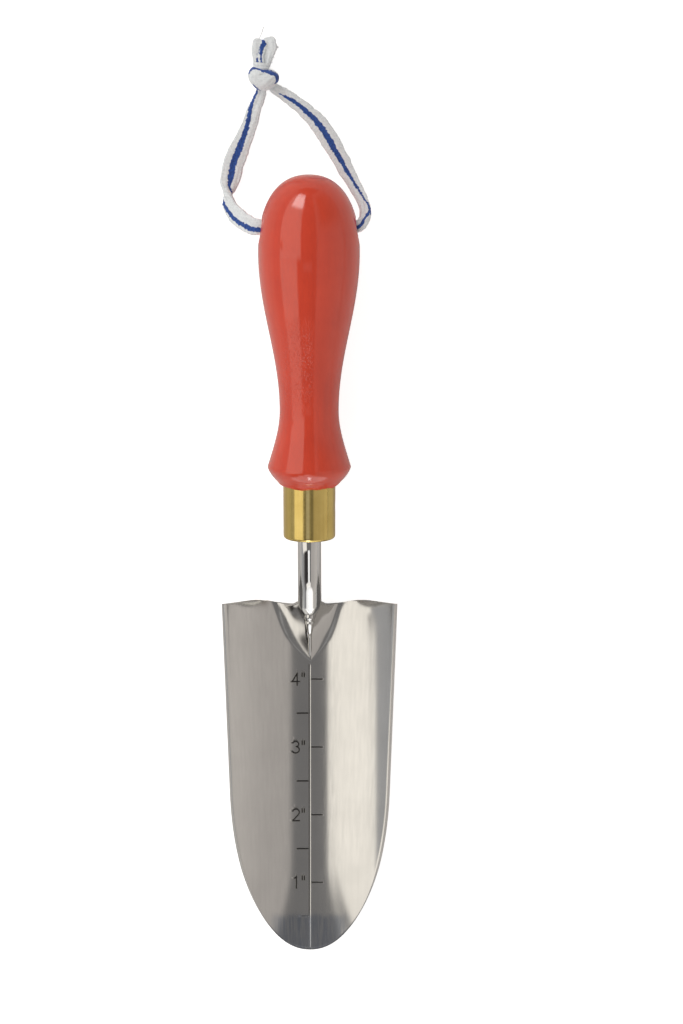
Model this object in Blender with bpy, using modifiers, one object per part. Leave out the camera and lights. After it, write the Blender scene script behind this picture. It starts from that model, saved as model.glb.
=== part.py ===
"""Hand trowel: pressed stainless blade, cranked neck with a hidden tang, brass ferrule, turned and painted
wooden handle, and a tape hanging loop tied in a knot.

The trowel lies on its back. +Y runs from the blade's tip to the handle's butt, +Z is up, out of the blade's
hollow side, and the origin is at the centre of its footprint on the table. Lengths are in metres.
"""

import math

import bmesh
import bpy
from mathutils import Vector

MM = 0.001
GAP = 0.3 * MM  # left between pieces that touch

# Handle, measured from the butt
LENGTH = 290 * MM  # butt to blade tip
HANDLE_L = 112.2 * MM
BULGE_R = 18.3 * MM
DOME_L = 28 * MM
DOME_POWER = 2.3
WAIST_AT = 85.5 * MM
WAIST_R = 10.7 * MM
FLARE_AT = 106.0 * MM
FLARE_R = 15.15 * MM
FLARE_SLOPE = 0.3
LIP_R = 10.0 * MM
LIP_POWER = 1.35
AXIS_Z = BULGE_R  # the bulge rests on the table

# Hanging hole through the handle
HOLE_AT = 18.8 * MM
HOLE_R = 3.5 * MM
HOLE_MOUTH_R = 5.2 * MM
HOLE_MOUTH_DEPTH = 1.6 * MM

# Ferrule, a drawn brass cup
FERRULE_L = 20 * MM
FERRULE_TOP_R = 9.5 * MM
FERRULE_END_R = 9.45 * MM
FERRULE_WALL = 0.9 * MM
FERRULE_EDGE_R = 1.3 * MM
DIMPLE_AT = 8.2 * MM  # from the handle's end
DIMPLE_R = 2.6 * MM
DIMPLE_DEPTH = 0.45 * MM

# Neck: a round bar whose upper end is the tang inside the handle
NECK_R = 4.3 * MM
TANG_L = 48 * MM
TANG_TIP_R = 3.2 * MM
BEND_AT = 15.6 * MM  # from the ferrule's end face to the corner of the bend
BEND_R = 12 * MM
BEND_ANGLE = math.radians(36)
NOSE_AT = 12.4 * MM  # from the bend's corner to where the nose starts
NOSE_L = 8 * MM
NOSE_TIP_R = 1.5 * MM
ADHESIVE_T = 0.5 * MM

# Blade, pressed from sheet. s runs from its top edge to its tip, x across it, z up from its bed
SHEET = 1.5 * MM
BLADE_L = 131 * MM
BLADE_TILT = math.radians(6)
TROUGH_R = 42.5 * MM
TIP_ARC_L = 61 * MM
TIP_ARC_W = 26.25 * MM
TIP_ARC_POWERS = (2.1, 2.15)  # along and across
SIDE_TAPER = 0.0376
SHOULDER_S = 22 * MM  # how far up the tip's arc the last row of the mesh reaches

# Beak: the two flaps of the blade raised round the neck's nose, with a slit between them
BEAK_L = 22.5 * MM
BEAK_HALF_W = 13 * MM
BEAK_TOP = 10.4 * MM
SLIT_HALF_W = 7.3 * MM
SLIT_DECAY = 9.5 * MM

# Weld bead in the slit, ground nearly flush
WELD_S = 11.6 * MM
WELD_RADII = Vector((0.7, 2.4, 1.2)) * MM
WELD_DEPTH = 0.6 * MM

# Hanging loop
CORD_R = 1.9 * MM
KNOT_AT = Vector((-16.4, 178.2, 4.2)) * MM
KNOT_RADII = Vector((5.6, 4.4, 4.2)) * MM
TAIL_L = 9.6 * MM
TAIL_W = 4.2 * MM
TAIL_T = 2.8 * MM

# The tape leaves the hole on both sides, drops to the table and runs to the knot (millimetres)
LEFT_ROUTE = [
    (-0.3, 126.2, 18.3), (-8, 126.2, 18.3), (-15, 126.1, 18.3), (-19.5, 126.3, 17.6), (-23.6, 128.0, 14.9),
    (-26.8, 130.4, 11.6), (-28.8, 133.2, 8.2), (-29.5, 136.4, 5.1), (-29.1, 139.7, 3.3), (-28.1, 143.7, 2.3),
    (-27.2, 147.8, 2), (-25.2, 152.8, 2), (-23, 157.6, 2), (-21.2, 162.3, 2), (-19.7, 166.9, 2),
    (-18.2, 170.4, 2.2), (-17.4, 172.6, 2.6),
]
RIGHT_ROUTE = [
    (0.3, 126.2, 18.3), (8, 126.2, 18.3), (14.4, 126.1, 18.3), (18.2, 126.8, 17.6), (20.1, 129.4, 14.8),
    (20.1, 132.6, 11.0), (18.5, 136.2, 7.3), (16.2, 140.3, 4.7), (13.7, 144.7, 3), (11.3, 149.1, 2.2),
    (8.6, 153.9, 2), (5.5, 159, 2), (1.7, 163.8, 2), (-2.4, 167.5, 2), (-6.5, 170.7, 2),
    (-9.4, 172.6, 2.2), (-11.3, 173.8, 2.6),
]

BUTT_Y = LENGTH / 2
HANDLE_END_Y = BUTT_Y - HANDLE_L
FERRULE_END_Y = HANDLE_END_Y - GAP - FERRULE_L
HOLE_Y = BUTT_Y - HOLE_AT


def start_scene():
    for old in list(bpy.data.objects):
        bpy.data.objects.remove(old)
    collections = []
    for name in ("hand_trowel", "cutters"):
        collection = bpy.data.collections.new(name)
        bpy.context.scene.collection.children.link(collection)
        collections.append(collection)
    return collections


PARTS, CUTTERS = start_scene()


def material(name, colour, roughness, metallic=0.0):
    made = bpy.data.materials.new(name)
    made.use_nodes = True
    shader = made.node_tree.nodes["Principled BSDF"]
    shader.inputs["Base Color"].default_value = (*colour, 1)
    shader.inputs["Roughness"].default_value = roughness
    shader.inputs["Metallic"].default_value = metallic
    return made


STEEL = material("stainless_steel", (0.62, 0.61, 0.59), 0.12, 1)
BRASS = material("brass", (0.80, 0.62, 0.28), 0.25, 1)
PAINT = material("red_paint", (0.68, 0.08, 0.045), 0.22)
RESIN = material("resin", (0.55, 0.48, 0.33), 0.4)
TAPE = material("cotton_tape", (0.72, 0.71, 0.69), 0.9)


def add(name, data, look=None):
    made = bpy.data.objects.new(name, data)
    (PARTS if look else CUTTERS).objects.link(made)
    if look:
        data.materials.append(look)
    else:
        made.hide_render = True
        made.display_type = "WIRE"
    return made


def add_bmesh(name, mesh, look=None):
    data = bpy.data.meshes.new(name)
    mesh.to_mesh(data)
    mesh.free()
    if look:
        data.shade_smooth()
        data.set_sharp_from_angle(angle=math.radians(40))
    return add(name, data, look)


def turned(name, profile, look=None, steps=40):
    """A turned piece: (distance along, radius) points from its butt end, spun about the handle's axis."""
    mesh = bmesh.new()
    points = [mesh.verts.new((radius, -along, 0)) for along, radius in profile]
    for a, b in zip(points, points[1:]):
        mesh.edges.new((a, b))
    made = add_bmesh(name, mesh, look)
    made.location = (0, BUTT_Y, AXIS_Z)
    spin = made.modifiers.new("spin", "SCREW")
    spin.axis = "Y"
    spin.steps = spin.render_steps = steps
    spin.use_merge_vertices = True
    spin.merge_threshold = 0.001 * MM
    spin.use_smooth_shade = True
    return made


def make_hole_cutter():
    """The cross hole with its mouths rounded over, turned and then laid along X."""
    mouth = handle_radius(HOLE_AT)
    flare = [(mouth - HOLE_MOUTH_DEPTH * (1 - t), HOLE_R + (HOLE_MOUTH_R - HOLE_R) * t**2) for t in arc_steps(4)]
    flare.append((flare[-1][0] + HOLE_MOUTH_DEPTH, HOLE_MOUTH_R + 2 * HOLE_MOUTH_DEPTH))
    half = flare + [(flare[-1][0], 0)]
    profile = [(-along, radius) for along, radius in reversed(half)] + half
    cutter = turned("cross_hole", profile, steps=28)
    cutter.location.y = HOLE_Y
    cutter.rotation_euler.z = math.pi / 2
    return cutter


def make_tang_bore():
    bore_l = FERRULE_L + TANG_L + 2 * MM
    mesh = bmesh.new()
    bore_r = NECK_R + ADHESIVE_T + 2 * GAP
    bmesh.ops.create_cone(mesh, cap_ends=True, segments=32, radius1=bore_r, radius2=bore_r, depth=bore_l)
    cutter = add_bmesh("tang_bore", mesh)
    cutter.location = (0, HANDLE_END_Y - FERRULE_L + bore_l / 2, AXIS_Z)
    cutter.rotation_euler.x = math.pi / 2
    return cutter


def cut(target, cutter):
    tool = target.modifiers.new(cutter.name, "BOOLEAN")
    tool.operation = "DIFFERENCE"
    tool.solver = "EXACT"
    tool.object = cutter


def arc_steps(count):
    return [i / count for i in range(count + 1)]


def handle_radius(along):
    """The handle's radius at a distance from its butt, up to its flared rim."""
    if along < DOME_L:
        return BULGE_R * (1 - (1 - along / DOME_L) ** DOME_POWER) ** (1 / DOME_POWER)
    if along < WAIST_AT:
        swing = math.cos(math.pi * (along - DOME_L) / (WAIST_AT - DOME_L))
        return (BULGE_R + WAIST_R) / 2 + (BULGE_R - WAIST_R) / 2 * swing
    run = FLARE_AT - WAIST_AT
    t = (along - WAIST_AT) / run
    rise = (3 * t**2 - 2 * t**3) * (FLARE_R - WAIST_R)
    return WAIST_R + rise + (t**3 - t**2) * run * FLARE_SLOPE


def lip_radius(t):
    """From the flared rim, t = 0, round and in to the ferrule, t = 1."""
    return LIP_R + (FLARE_R - LIP_R) * (1 - t**LIP_POWER) ** (1 / LIP_POWER)


def make_handle():
    spigot_r = FERRULE_TOP_R - FERRULE_WALL - GAP
    spigot_end = HANDLE_L + GAP + FERRULE_L - FERRULE_WALL - 2 * GAP
    dome = [DOME_L * t**2 for t in arc_steps(11)]
    body = [DOME_L + (WAIST_AT - DOME_L) * t for t in arc_steps(10)[1:]]
    flare = [WAIST_AT + (FLARE_AT - WAIST_AT) * t for t in arc_steps(5)[1:]]
    profile = [(along, handle_radius(along)) for along in dome + body + flare]
    lip = [math.sin(t * math.pi / 2) for t in arc_steps(5)[1:]]
    profile += [(FLARE_AT + (HANDLE_L - FLARE_AT) * t, lip_radius(t)) for t in lip]
    end_r = FERRULE_END_R - FERRULE_WALL - GAP
    chamfer = 1.2 * MM
    profile += [(HANDLE_L, spigot_r), (spigot_end - chamfer, end_r), (spigot_end, end_r - chamfer), (spigot_end, 0)]
    handle = turned("handle", profile, PAINT)

    cut(handle, make_tang_bore())
    cut(handle, make_hole_cutter())
    return handle


def make_ferrule():
    start = HANDLE_L + GAP
    end = start + FERRULE_L
    inner_top, inner_end = FERRULE_TOP_R - FERRULE_WALL, FERRULE_END_R - FERRULE_WALL
    hole_r = NECK_R + GAP
    profile = [(start, inner_top), (start, FERRULE_TOP_R - 0.2 * MM), (start + 0.2 * MM, FERRULE_TOP_R)]
    for t in arc_steps(5):
        turn = t * math.pi / 2
        along = end - FERRULE_EDGE_R * (1 - math.sin(turn))
        profile.append((along, FERRULE_END_R - FERRULE_EDGE_R * (1 - math.cos(turn))))
    profile += [(end, hole_r), (end - FERRULE_WALL, hole_r), (end - FERRULE_WALL, inner_end), (start, inner_top)]
    ferrule = turned("ferrule", profile, BRASS)
    mesh = bmesh.new()
    bmesh.ops.create_uvsphere(mesh, u_segments=20, v_segments=12, radius=DIMPLE_R)
    dimple = add_bmesh("staking_punch", mesh)
    dimple.location = (
        FERRULE_TOP_R - DIMPLE_DEPTH + DIMPLE_R, HANDLE_END_Y - DIMPLE_AT, AXIS_Z + 1.1 * MM
    )
    cut(ferrule, dimple)
    return ferrule


def tube(name, points, radius, look, resolution, scales=None):
    """A round bar or cord along points, with a radius factor at each point if scales says so."""
    data = bpy.data.curves.new(name, "CURVE")
    data.dimensions = "3D"
    data.bevel_depth = radius
    data.bevel_resolution = resolution
    data.use_fill_caps = True
    line = data.splines.new("POLY")
    line.points.add(len(points) - 1)
    for i, (point, at) in enumerate(zip(line.points, points)):
        point.co = (*at, 1)
        point.radius = scales[i] if scales else 1
    line.use_smooth = True
    return add(name, data, look)


def neck_route():
    """Points and radii from the tang's tip, through the ferrule and the bend, to the nose."""
    straight = Vector((0, -1, 0))
    down = Vector((0, -math.cos(BEND_ANGLE), -math.sin(BEND_ANGLE)))
    tang_tip = Vector((0, HANDLE_END_Y + TANG_L, AXIS_Z))
    corner = Vector((0, FERRULE_END_Y - BEND_AT, AXIS_Z))
    tangent_l = BEND_R * math.tan(BEND_ANGLE / 2)
    route = [(tang_tip, TANG_TIP_R * 0.6), (tang_tip + straight * 1.5 * MM, TANG_TIP_R)]
    route.append((Vector((0, HANDLE_END_Y + 8 * MM, AXIS_Z)), NECK_R))
    start = corner - straight * tangent_l
    centre = start + Vector((0, 0, -BEND_R))
    for t in arc_steps(8):
        turn = BEND_ANGLE * t
        on_arc = centre + Vector((0, -math.sin(turn), math.cos(turn))) * BEND_R
        route.append((on_arc, NECK_R))
    nose = corner + down * NOSE_AT
    for t in arc_steps(8):
        turn = t * math.pi / 2
        radius = NOSE_TIP_R + (NECK_R - NOSE_TIP_R) * math.cos(turn)
        route.append((nose + down * NOSE_L * math.sin(turn), radius))
    return route


def make_neck():
    points, radii = zip(*neck_route())
    return tube("neck_shaft", points, NECK_R, STEEL, 5, [r / NECK_R for r in radii])


def make_adhesive():
    inner = NECK_R + GAP
    outer = inner + ADHESIVE_T
    start, end = HANDLE_L - TANG_L + 6 * MM, HANDLE_L - 1 * MM
    profile = [(start, inner), (start, outer), (end, outer), (end, inner), (start, inner)]
    return turned("tang_adhesive", profile, RESIN, 32)


def half_width(from_tip):
    """The blade's half width at a distance from its tip: a blunt arc, then slowly widening sides."""
    t = 1 - min(from_tip, TIP_ARC_L) / TIP_ARC_L
    along, across = TIP_ARC_POWERS
    return TIP_ARC_W * (1 - t**along) ** (1 / across) + SIDE_TAPER * from_tip


def tip_depth(x):
    """How far from the tip the outline reaches a half width of x."""
    along, across = TIP_ARC_POWERS
    depth = 0.0
    for _ in range(5):
        share = min(1.0, max(0.0, x - SIDE_TAPER * depth) / TIP_ARC_W)
        depth = TIP_ARC_L * (1 - (1 - share**across) ** (1 / along))
    return depth


def trough(x):
    return TROUGH_R - math.sqrt(TROUGH_R**2 - x**2)


def slit_half_width(s):
    if s >= BEAK_L:
        return 0.0
    return SLIT_HALF_W * math.exp(-s / SLIT_DECAY) * (1 - (s / BEAK_L) ** 6)


def blade_height(x, s):
    """The height of the blade's hollow side above its bed: a round trough, with the beak's flaps raised."""
    base = trough(x)
    if s >= BEAK_L:
        return base
    left = max(0.0, 1 - s / BEAK_L)
    edge, slit = BEAK_HALF_W * left**0.6, slit_half_width(s)
    if x >= edge:
        return base
    q = min(1.0, (edge - x) / (edge - slit))
    round_share = min(1.0, 0.45 + s / (20 * MM))
    rise = (1 - round_share) * q**1.6 + round_share * q**2 * (3 - 2 * q)
    return base + (BEAK_TOP * left**0.85 - base) * rise


def blade_point(x, s):
    """A point of the hollow side, before the blade is lowered to the table."""
    z = blade_height(x, s)
    y = -s * math.cos(BLADE_TILT) + z * math.sin(BLADE_TILT)
    top_y = -LENGTH / 2 + BLADE_L * math.cos(BLADE_TILT) + SHEET * math.sin(BLADE_TILT)
    return Vector((x, top_y + y, s * math.sin(BLADE_TILT) + z * math.cos(BLADE_TILT)))


def blade_grid(across=18, along=38):
    """Rows of (x, s) over half of the blade. Rows start straight at the top edge and end on the tip's arc."""
    shoulder_x = half_width(SHOULDER_S)
    rows = []
    for t in arc_steps(along):
        centre_s = BLADE_L * (0.55 * t + 0.45 * t**2)
        bow = t**2
        edge_x = half_width(BLADE_L - centre_s + bow * SHOULDER_S)
        slit = slit_half_width(centre_s)
        near_centre = 1 + 0.5 * (1 - t)
        row = []
        for u in arc_steps(across):
            share = u**near_centre
            x = slit + (edge_x - slit) * share
            row.append((x, centre_s - bow * tip_depth(share * shoulder_x)))
        rows.append(row)
    return rows


def lowest(piece):
    bpy.context.view_layer.update()
    shown = piece.evaluated_get(bpy.context.evaluated_depsgraph_get())
    return min(vertex.co.z for vertex in shown.to_mesh().vertices)


def make_blade():
    mesh = bmesh.new()
    made = [[mesh.verts.new(blade_point(x, s)) for x, s in row] for row in blade_grid()]
    for upper, lower in zip(made, made[1:]):
        for i in range(len(upper) - 1):
            mesh.faces.new((upper[i], lower[i], lower[i + 1], upper[i + 1]))
    blade = add_bmesh("blade", mesh, STEEL)
    mirror = blade.modifiers.new("other_half", "MIRROR")
    mirror.merge_threshold = 0.00001
    shell = blade.modifiers.new("sheet", "SOLIDIFY")
    shell.thickness = SHEET
    shell.offset = -1
    shell.use_even_offset = True
    blade.location.z = -lowest(blade)
    return blade


def make_weld(blade):
    """A ground weld bead in the slit, just below the neck's nose."""
    mesh = bmesh.new()
    bmesh.ops.create_uvsphere(mesh, u_segments=16, v_segments=12, radius=1)
    bmesh.ops.scale(mesh, vec=WELD_RADII, verts=mesh.verts)
    weld = add_bmesh("neck_weld", mesh, STEEL)
    weld.location = blade_point(0, WELD_S) + blade.location
    weld.location.z -= WELD_DEPTH
    return weld


def smooth_route(points, per_span):
    """A smooth curve through a route's own points."""
    ends = [points[0]] + points + [points[-1]]
    line = []
    for a, b, c, d in zip(ends, ends[1:], ends[2:], ends[3:]):
        for i in range(per_span):
            t = i / per_span
            line.append(
                0.5 * (2 * b + (c - a) * t + (2 * a - 5 * b + 4 * c - d) * t**2 + (3 * b - a - 3 * c + d) * t**3)
            )
    return line + [points[-1]]


def make_strand(name, route):
    points = [Vector(p) * MM for p in route]
    return tube(name, smooth_route(points, 2), CORD_R, TAPE, 2)


def make_knot():
    mesh = bmesh.new()
    bmesh.ops.create_uvsphere(mesh, u_segments=20, v_segments=12, radius=1)
    bmesh.ops.scale(mesh, vec=KNOT_RADII, verts=mesh.verts)
    knot = add_bmesh("cord_knot", mesh, TAPE)
    knot.location = KNOT_AT
    return knot


def make_tail(name, side):
    mesh = bmesh.new()
    bmesh.ops.create_cube(mesh, size=1)
    bmesh.ops.scale(mesh, vec=(TAIL_W, TAIL_L, TAIL_T), verts=mesh.verts)
    tail = add_bmesh(name, mesh, TAPE)
    tail.location = KNOT_AT + Vector(
        (side * (TAIL_W / 2 + GAP), KNOT_RADII.y + GAP + TAIL_L / 2, TAIL_T / 2 - KNOT_AT.z)
    )
    bevel = tail.modifiers.new("soft_edges", "BEVEL")
    bevel.width = TAIL_T * 0.35
    bevel.segments = 3
    return tail


make_handle()
make_ferrule()
make_neck()
make_adhesive()
make_weld(make_blade())
make_strand("cord_left", LEFT_ROUTE)
make_strand("cord_right", RIGHT_ROUTE)
make_knot()
make_tail("cord_tail_left", -1)
make_tail("cord_tail_right", 1)
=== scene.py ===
"""The hand trowel's looks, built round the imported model.

+Y runs from the blade's tip to the handle's butt, and +Z is up out of the blade's hollow side. Lengths are in
metres.
"""

import math
from contextlib import contextmanager

import bmesh
import bpy
import numpy as np
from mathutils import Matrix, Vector, noise


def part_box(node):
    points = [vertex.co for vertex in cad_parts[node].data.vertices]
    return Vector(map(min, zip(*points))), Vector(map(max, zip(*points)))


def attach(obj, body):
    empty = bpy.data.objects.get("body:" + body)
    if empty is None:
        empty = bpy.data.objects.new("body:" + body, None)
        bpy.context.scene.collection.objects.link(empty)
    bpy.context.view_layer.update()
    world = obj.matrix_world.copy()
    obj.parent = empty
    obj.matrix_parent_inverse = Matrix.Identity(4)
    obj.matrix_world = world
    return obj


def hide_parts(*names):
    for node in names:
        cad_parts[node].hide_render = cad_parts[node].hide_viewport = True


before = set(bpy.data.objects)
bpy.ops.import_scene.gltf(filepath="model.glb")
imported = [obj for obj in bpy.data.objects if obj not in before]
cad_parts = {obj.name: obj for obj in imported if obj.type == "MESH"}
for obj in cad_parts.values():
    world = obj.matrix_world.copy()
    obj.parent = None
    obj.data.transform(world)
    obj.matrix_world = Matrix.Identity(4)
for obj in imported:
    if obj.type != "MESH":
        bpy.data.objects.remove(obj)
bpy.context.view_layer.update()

MM = 0.001
TROWEL, LOOP = "trowel", "hanging_loop"

BLADE_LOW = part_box("blade")[0]
HANDLE_LOW, HANDLE_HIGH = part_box("handle")
FERRULE_LOW, FERRULE_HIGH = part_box("ferrule")
NECK_LOW, NECK_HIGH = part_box("neck_shaft")
TIP_Y, BUTT_Y = BLADE_LOW[1], HANDLE_HIGH[1]
AXIS_Z = (HANDLE_LOW[2] + HANDLE_HIGH[2]) / 2
BULGE_R = (HANDLE_HIGH[0] - HANDLE_LOW[0]) / 2
FERRULE_END_Y = FERRULE_LOW[1]
HANDLE_END_Y = FERRULE_HIGH[1] + 0.3 * MM
SAME_POINT = 0.001 * MM  # points nearer than this are joined


# ---------------------------------------------------------------- camera, floor and light

VIEW_TILT = math.radians(10.7)  # the camera stands a little towards the butt
VIEW_DISTANCE = 1.4
VIEW_TARGET = Vector((0.0117, 0.0206, 0.010))
LENS = 134.5


def make_camera():
    data = bpy.data.cameras.new("camera")
    data.lens = LENS
    camera = bpy.data.objects.new("camera", data)
    bpy.context.scene.collection.objects.link(camera)
    away = Vector((0, math.sin(VIEW_TILT), math.cos(VIEW_TILT)))
    camera.location = VIEW_TARGET + away * VIEW_DISTANCE
    camera.rotation_euler = (-VIEW_TILT, 0, 0)
    bpy.context.scene.camera = camera


# The studio as a sky. Each panel has its edges in degrees, across (from straight up towards +X) and along
# (towards the butt), the softness of its edges, its colour and its brightness, below zero for a flag.
ROOM = (0.22, 0.215, 0.215)
PANELS = [
    ("left softbox", (-69, -18), (-7, 62), 3, (1.0, 0.95, 0.86), 1.10),
    ("softbox skirt", (-69, -27), (-33, -7), 5, (1.0, 0.95, 0.86), 1.05),
    ("right wall", (18, 88), (-75, 70), 5, (1.0, 0.92, 0.84), 0.34),
    ("right wall, far half", (62, 110), (-75, 70), 55, (1.0, 0.95, 0.88), 0.14),
    ("right flag", (28, 88), (18, 64), 20, (1.0, 1.0, 1.0), -0.28),
    ("side flag", (-69, -61), (-3.2, 2), 3, (1.0, 0.95, 0.86), -0.82),
    ("left wall", (-100, -69), (-75, 70), 6, (0.96, 0.98, 1.0), 0.27),
    ("ferrule strip", (-13, 7), (-12.8, -9.0), 1.2, (1.0, 1.0, 1.0), 0.25),
    ("neck strip", (-16, 4), (-51, -34), 2, (1.0, 1.0, 1.0), 1.2),
    ("dark flag", (-54, -17), (-50, -34), 3, (1.0, 1.0, 1.0), -0.17),
    ("low front", (-42, 16), (-59, -51), 3, (1.0, 0.97, 0.92), 1.1),
    ("sweep", (-180, 180), (-95, -59), 6, (1.0, 1.0, 1.0), 1.2),
    ("lip lamp", (-9, 11), (-78, -66), 3, (1.0, 1.0, 1.0), 5.0),
    ("key", (-57, -17), (41, 68), 8, (1.0, 0.97, 0.97), 4.2),
]


def make_world():
    world = bpy.data.worlds.new("studio")
    bpy.context.scene.world = world
    world.use_nodes = True
    tree = world.node_tree
    tree.nodes.clear()

    def made(kind, *inputs, **settings):
        node = tree.nodes.new(kind)
        for key, value in settings.items():
            setattr(node, key, value)
        for socket, value in zip(node.inputs, inputs):
            if hasattr(value, "is_linked"):
                tree.links.new(value, socket)
            elif value is not None:
                socket.default_value = value
        return node.outputs[0]

    def maths(operation, *inputs):
        return made("ShaderNodeMath", *inputs, operation=operation)

    sky = made("ShaderNodeTexCoord")
    split = tree.nodes.new("ShaderNodeSeparateXYZ")
    tree.links.new(sky, split.inputs[0])
    x, y, z = split.outputs
    across = maths("DEGREES", maths("ARCTAN2", x, z))
    along = maths("DEGREES", maths("ARCSINE", y))

    def past(angle, edge, soft):
        ends = (edge - soft / 2, edge + soft / 2)
        return made("ShaderNodeMapRange", angle, *ends, interpolation_type="SMOOTHSTEP")

    def inside(angle, low, high, soft):
        return maths("SUBTRACT", past(angle, low, soft), past(angle, high, soft))

    total = None
    for _, across_edges, along_edges, soft, colour, bright in PANELS:
        share = maths("MULTIPLY", inside(across, *across_edges, soft), inside(along, *along_edges, soft))
        light = made("ShaderNodeVectorMath", tuple(bright * c for c in colour), operation="SCALE")
        tree.links.new(share, light.node.inputs["Scale"])
        total = made("ShaderNodeVectorMath", light, ROOM if total is None else total, operation="ADD")
    room = made("ShaderNodeBackground", total)
    backdrop = made("ShaderNodeBackground", (1, 1, 1, 1))
    out = tree.nodes.new("ShaderNodeOutputWorld")
    seen = tree.nodes.new("ShaderNodeLightPath").outputs["Is Camera Ray"]
    tree.links.new(made("ShaderNodeMixShader", seen, room, backdrop), out.inputs["Surface"])


def make_stage():
    make_world()
    floor = bpy.data.meshes.new("floor")
    floor.from_pydata([(-4, -4, 0), (4, -4, 0), (4, 4, 0), (-4, 4, 0)], [], [(0, 1, 2, 3)])
    floor_object = bpy.data.objects.new("floor", floor)
    bpy.context.scene.collection.objects.link(floor_object)
    floor_object.location.z = -0.05 * MM
    floor.materials.append(floor_material())
    bpy.context.scene.view_settings.view_transform = "Standard"


# ---------------------------------------------------------------- node helpers


class Nodes:
    """A material's node tree, with short calls for the nodes used here."""

    def __init__(self, name):
        self.material = bpy.data.materials.new(name)
        self.material.use_nodes = True
        self.tree = self.material.node_tree
        self.shader = self.tree.nodes["Principled BSDF"]

    def set(self, **values):
        for key, value in values.items():
            self.shader.inputs[key.replace("_", " ").title().replace("Ior", "IOR")].default_value = value

    def link(self, source, key):
        self.tree.links.new(source, self.shader.inputs[key])

    def node(self, kind, inputs=(), **settings):
        made = self.tree.nodes.new(kind)
        for key, value in settings.items():
            setattr(made, key, value)
        for key, value in dict(inputs).items():
            if hasattr(value, "is_linked"):
                self.tree.links.new(value, made.inputs[key])
            else:
                made.inputs[key].default_value = value
        return made

    def place(self):
        """The point's place in the row frame."""
        return self.node("ShaderNodeTexCoord").outputs["Object"]

    def stretched(self, scale):
        return self.node("ShaderNodeMapping", {"Vector": self.place(), "Scale": scale}).outputs[0]

    def noise(self, place, scale, detail=3, roughness=0.55):
        values = {"Vector": place, "Scale": scale, "Detail": detail, "Roughness": roughness}
        return self.node("ShaderNodeTexNoise", values).outputs["Fac"]

    def attribute(self, name):
        return self.node("ShaderNodeAttribute", attribute_name=name).outputs["Fac"]

    def ramp(self, value, low, high, out_low=0.0, out_high=1.0):
        values = {"Value": value, "From Min": low, "From Max": high, "To Min": out_low, "To Max": out_high}
        return self.node("ShaderNodeMapRange", values).outputs[0]

    def maths(self, operation, a, b=0.0):
        return self.node("ShaderNodeMath", {0: a, 1: b}, operation=operation).outputs[0]

    def mix(self, share, a, b):
        return self.node("ShaderNodeMix", {0: share, 6: a, 7: b}, data_type="RGBA").outputs[2]

    def bump(self, height, distance, strength=1.0):
        values = {"Height": height, "Distance": distance, "Strength": strength}
        return self.node("ShaderNodeBump", values).outputs[0]


def floor_material():
    """White paper, lifted to clean white where the camera sees it."""
    n = Nodes("floor_paper")
    n.set(base_color=(0.80, 0.80, 0.80, 1), roughness=0.9, emission_color=(1, 1, 1, 1))
    n.shader.inputs["Specular IOR Level"].default_value = 0.1
    seen = n.node("ShaderNodeLightPath").outputs["Is Camera Ray"]
    n.link(n.maths("MULTIPLY", seen, 0.75), "Emission Strength")
    return n.material


def steel_material(name, colour, roughness, grain, stamped=False):
    """Polished stainless: fine lines, faint smudges and, if stamped, the stamped marks darkened as painted
    shade and a painted dark reflection over the tip.
    """
    n = Nodes(name)
    n.set(metallic=1.0)
    streaks = n.noise(n.stretched((900, 14, 900)), 1.0, 4)
    smudge = n.noise(n.place(), 60, 3)
    base = n.mix(n.ramp(smudge, 0.35, 0.7), (*colour, 1), tuple(0.93 * c for c in colour) + (1,))
    base = n.mix(n.ramp(streaks, 0.3, 0.7, 0.0, grain), base, (0.50, 0.49, 0.475, 1))
    rough = n.ramp(streaks, 0.25, 0.75, roughness * 0.8, roughness * 1.25)
    if stamped:
        # Painted shade: the stamped strokes and the centre groove's line are darkened almost to black.
        groove_shade_mask = n.attribute("groove_shade")
        base = n.mix(groove_shade_mask, base, (0.035, 0.034, 0.033, 1))
        rough = n.maths("ADD", rough, n.maths("MULTIPLY", groove_shade_mask, 0.35))
        # Painted dark reflection: the tip's base colour is darkened towards blue-grey, streaked along the
        # lines.
        dark_tip_share = n.maths("MULTIPLY", n.attribute("dark_tip"), n.ramp(streaks, 0.3, 0.65, 0.35, 1.0))
        base = n.mix(dark_tip_share, base, (0.36, 0.385, 0.43, 1))
    n.link(base, "Base Color")
    n.link(rough, "Roughness")
    n.link(n.bump(streaks, 0.004 * MM, 0.6), "Normal")
    return n.material


HIGHLIGHT_STREAK_X = -0.5 * MM  # a painted highlight: a lengthwise bright streak on top of the ferrule


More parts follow.
